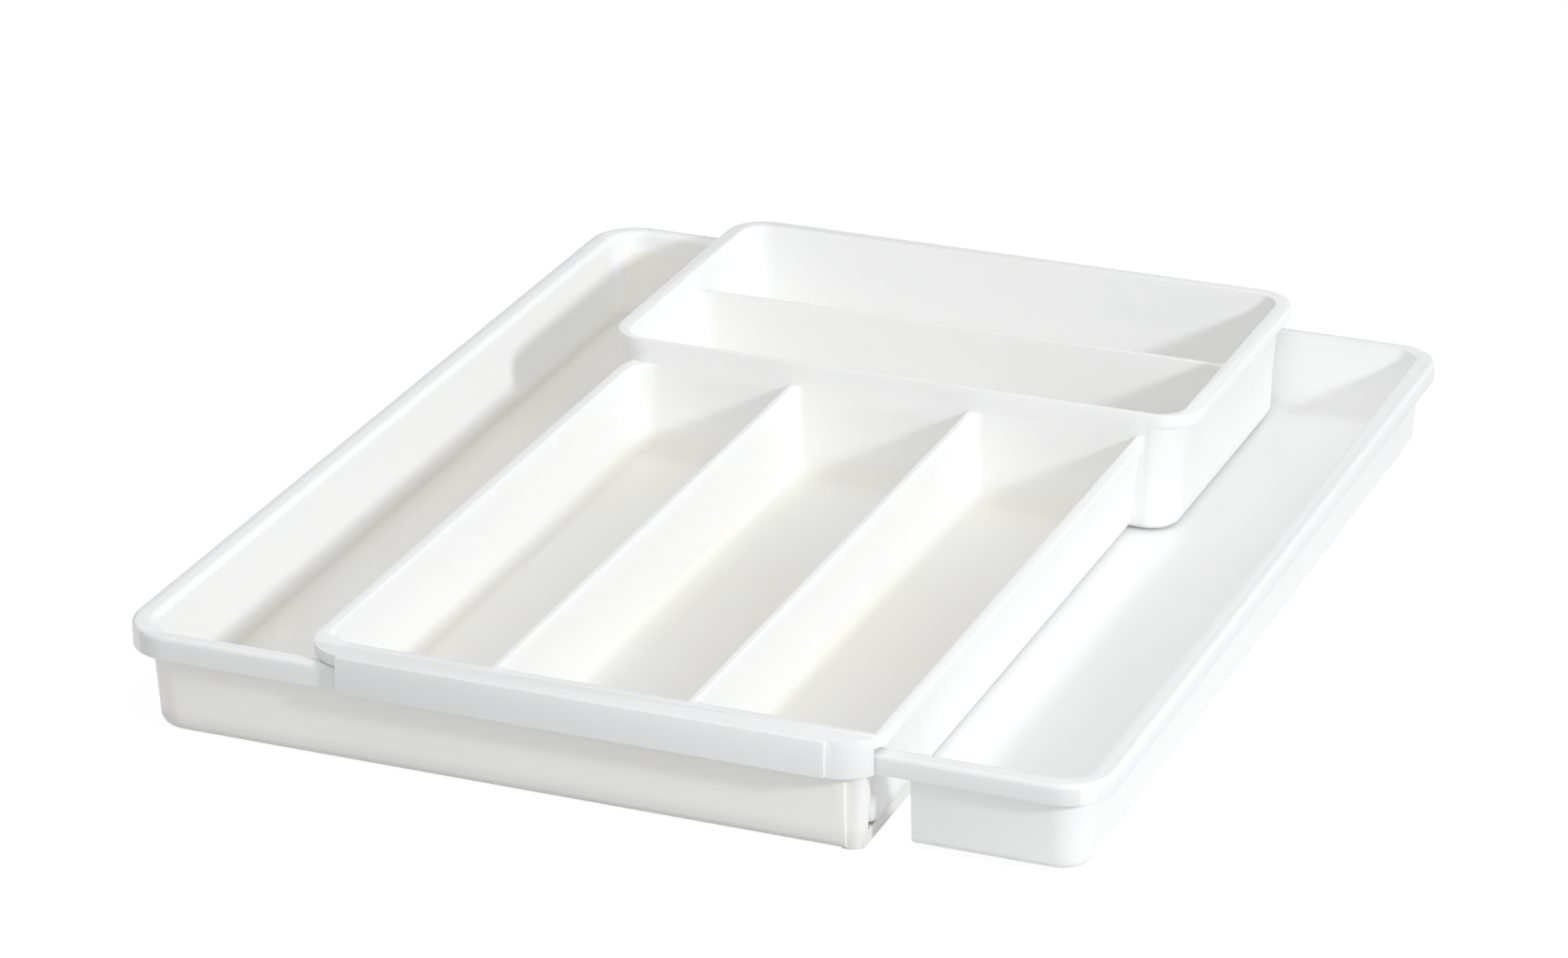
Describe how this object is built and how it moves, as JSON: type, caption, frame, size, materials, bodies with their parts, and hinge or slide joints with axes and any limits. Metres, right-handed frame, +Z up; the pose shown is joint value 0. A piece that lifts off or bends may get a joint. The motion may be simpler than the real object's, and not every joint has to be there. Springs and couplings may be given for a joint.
{
  "type": "expanding drawer organizer insert",
  "caption": "Shallow plastic drawer insert whose divided centre piece hooks over nested side trays that slide out to fit the drawer's width.",
  "frame": {"origin": "centre of the underside of the whole insert's bounding box in the pictured, half-open position", "axes": "+X runs across the drawer, the way the right tray pulls out; +Y runs from the drawer's front to its back; +Z is up"},
  "size_m": [0.3128, 0.3842, 0.0462],
  "materials": {
    "left_tray_plastic": "satin white moulded polypropylene",
    "right_tray_plastic": "satin white moulded polypropylene",
    "centre_insert_plastic": "satin white moulded polypropylene"
  },
  "bodies": {
    "left_tray": {"left_tray": "left_tray_plastic"},
    "centre_insert": {"centre_insert": "centre_insert_plastic"},
    "right_tray": {"right_tray": "right_tray_plastic"}
  },
  "joints": [
    {"name": "insert_slide", "type": "slide", "parent": "left_tray", "child": "centre_insert", "axis": [1, 0, 0], "range_m": [0, 0.085]},
    {"name": "right_tray_slide", "type": "slide", "parent": "centre_insert", "child": "right_tray", "axis": [1, 0, 0], "range_m": [-0.012, 0.08]}
  ]
}
